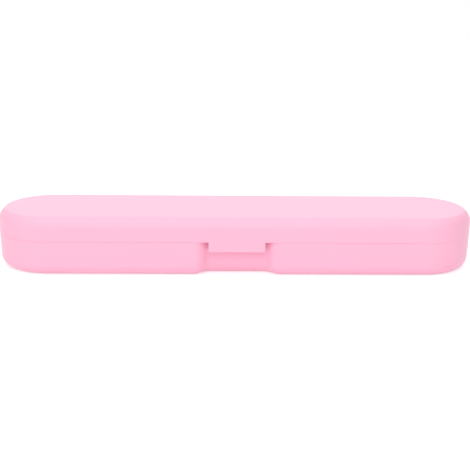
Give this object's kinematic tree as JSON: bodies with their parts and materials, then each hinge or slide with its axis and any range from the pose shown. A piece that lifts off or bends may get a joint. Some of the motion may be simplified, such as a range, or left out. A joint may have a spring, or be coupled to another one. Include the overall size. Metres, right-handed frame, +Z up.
{
  "type": "beauty tool case",
  "caption": "Slim round-ended clamshell case that shuts with a front snap tab and holds a hand-held beauty tool in a padded moulded nest.",
  "frame": {"origin": "middle of the flat underside of the base shell", "axes": "+X along the case, -Y towards the snap tab, +Y towards the hinge, +Z up through the lid"},
  "size_m": [0.2002, 0.0489, 0.0246],
  "materials": {
    "case_plastic": "satin pink moulded polypropylene",
    "tray_plastic": "satin pale pink moulded polystyrene",
    "pin_steel": "bright drawn wire",
    "pad_foam": "fine closed-cell foam"
  },
  "bodies": {
    "base": {"base_shell": "case_plastic", "hinge_pin_left": "pin_steel", "hinge_pin_right": "pin_steel", "tool_tray": "tray_plastic", "head_pad": "pad_foam", "handle_pad": "pad_foam"},
    "lid": {"lid_shell": "case_plastic", "lid_pad": "pad_foam"},
    "latch": {"latch_tab": "case_plastic"}
  },
  "joints": [
    {"name": "lid_hinge", "type": "hinge", "parent": "base", "child": "lid", "pos_m": [0, 0.02465, 0.0145], "axis": [-1, 0, 0], "range_deg": [0, 102]},
    {"name": "latch_flex", "type": "hinge", "parent": "lid", "child": "latch", "pos_m": [0, -0.02185, 0.01465], "axis": [-1, 0, 0], "range_deg": [0, 12], "stiffness_Nm_per_rad": 0.08}
  ]
}
